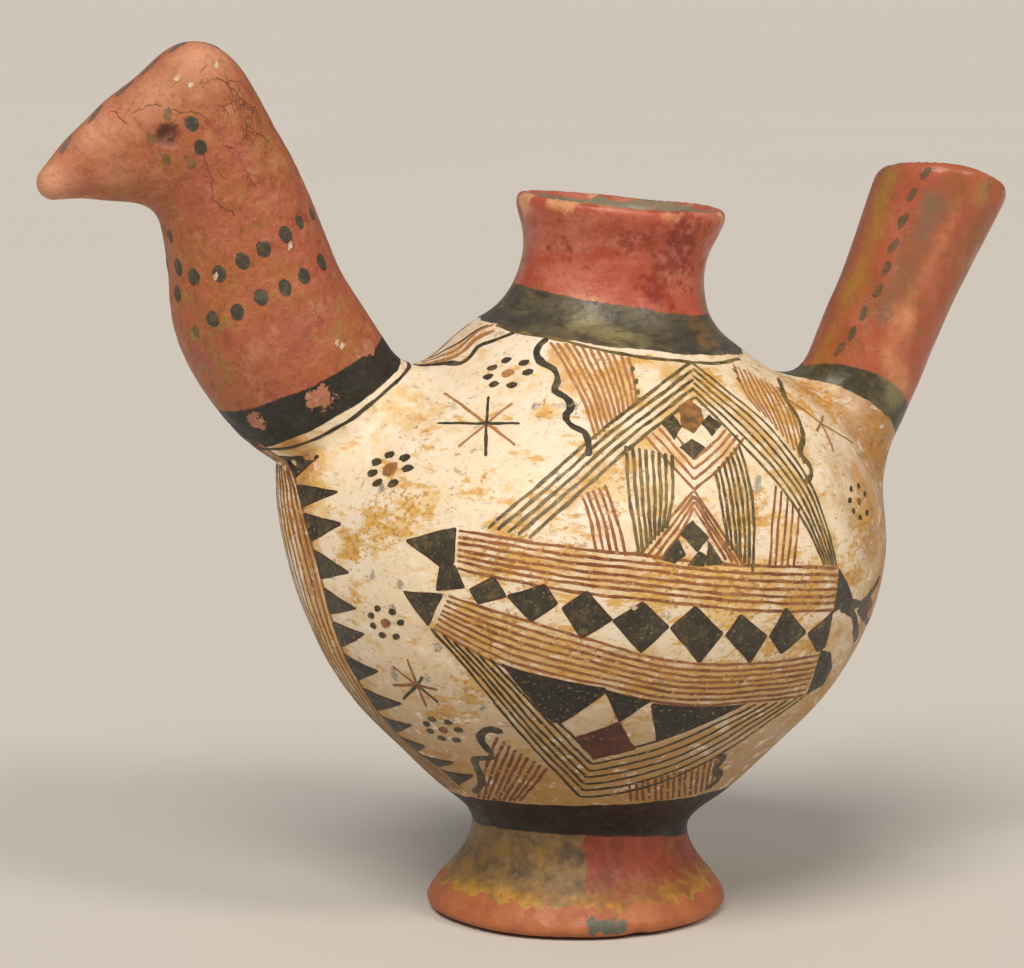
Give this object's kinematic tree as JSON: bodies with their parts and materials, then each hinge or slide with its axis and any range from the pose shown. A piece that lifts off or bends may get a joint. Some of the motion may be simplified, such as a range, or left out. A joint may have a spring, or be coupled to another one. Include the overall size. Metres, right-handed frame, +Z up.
{
  "type": "bird-shaped pottery pouring vessel",
  "caption": "Hand-built earthenware askos in the shape of a bird: round hollow body on a flared foot, open collar mouth, closed beaked head and a tail spout.",
  "frame": {"origin": "on the surface that the vessel stands on, in the middle of its length and width", "axes": "+Z up; the bird's head and beak point along -X and the tail spout leans towards +X; Y runs from side to side, and the vessel's middle plane is Y = 0"},
  "size_m": [0.275, 0.1506, 0.2457],
  "materials": {
    "slipped_earthenware": "burnished slip, worn satin"
  },
  "bodies": {
    "root": {"bird_vessel": "slipped_earthenware"}
  },
  "joints": []
}
